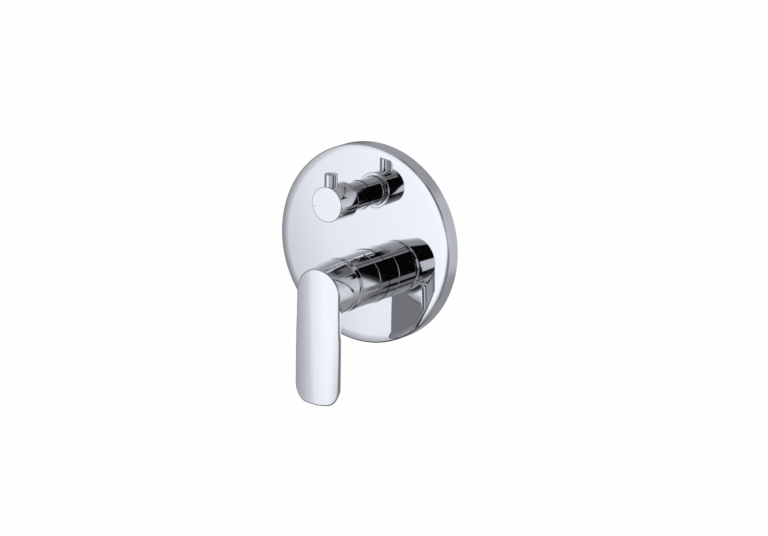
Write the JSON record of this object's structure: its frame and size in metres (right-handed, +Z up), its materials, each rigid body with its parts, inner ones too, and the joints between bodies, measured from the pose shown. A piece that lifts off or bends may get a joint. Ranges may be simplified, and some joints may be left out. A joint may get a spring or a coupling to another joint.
{
  "type": "concealed shower mixer",
  "caption": "Concealed shower mixer: round chromed wall plate, turning and lifting lever on a domed sleeve, diverter knob with a peg above it, and a brass body in the wall",
  "frame": {"origin": "centre of the wall plate's back, where it lies on the wall", "axes": "+Z up, -Y out of the wall into the room, +Y into the wall, +X to the right of someone facing it"},
  "size_m": [0.17, 0.1315, 0.2082],
  "materials": {
    "chrome": "polished chrome plate",
    "foam": "matte closed-cell foam",
    "black_rubber": "matte moulded rubber",
    "cast_brass": "shot-blasted casting",
    "turned_brass": "turned",
    "light_plastic": "moulded, matte",
    "dark_plastic": "moulded, matte",
    "ceramic": "ground alumina ceramic",
    "steel": "stainless steel",
    "red_plastic": "moulded, glossy"
  },
  "bodies": {
    "fixed": {"wall_plate": "chrome", "plate_gasket": "foam", "sleeve_seal": "black_rubber", "neck_seal": "black_rubber", "valve_body": "cast_brass", "port_ends": "cast_brass", "tower_seal": "black_rubber", "main_sleeve": "chrome", "cartridge_cover": "chrome", "cartridge_nut": "turned_brass", "cartridge_housing": "light_plastic", "cartridge_base": "dark_plastic", "base_seals": "black_rubber", "fixed_disc": "ceramic", "headwork_housing": "turned_brass", "headwork_seal": "black_rubber", "diverter_seat_disc": "ceramic", "diverter_neck": "chrome"},
    "turret": {"turret": "dark_plastic", "pivot_pin": "steel"},
    "lever": {"lever": "chrome", "lever_screw": "steel", "lever_plug": "red_plastic", "cartridge_stem": "turned_brass"},
    "disc": {"disc_carrier": "dark_plastic", "moving_disc": "ceramic"},
    "knob": {"diverter_knob": "chrome", "knob_peg": "chrome", "knob_screw": "steel", "diverter_spindle": "turned_brass", "spindle_clip": "steel", "diverter_turning_disc": "ceramic"}
  },
  "joints": [
    {"name": "temperature_turn", "type": "hinge", "parent": "fixed", "child": "turret", "pos_m": [0, 0, -0.0275], "axis": [0, -1, 0], "range_deg": [-42, 58]},
    {"name": "lever_lift", "type": "hinge", "parent": "turret", "child": "lever", "pos_m": [0, -0.042, -0.0275], "axis": [-0.9903, 0, 0.1392], "range_deg": [0, 22]},
    {"name": "disc_slide", "type": "slide", "parent": "turret", "child": "disc", "axis": [-0.1392, 0, -0.9903], "range_m": [0, 0.00366]},
    {"name": "diverter_turn", "type": "hinge", "parent": "fixed", "child": "knob", "pos_m": [0, 0, 0.0415], "axis": [0, -1, 0], "range_deg": [-37, 53]}
  ],
  "couplings": [
    {"joint": "disc_slide", "follows": "lever_lift", "m_per_rad": 0.0095}
  ]
}
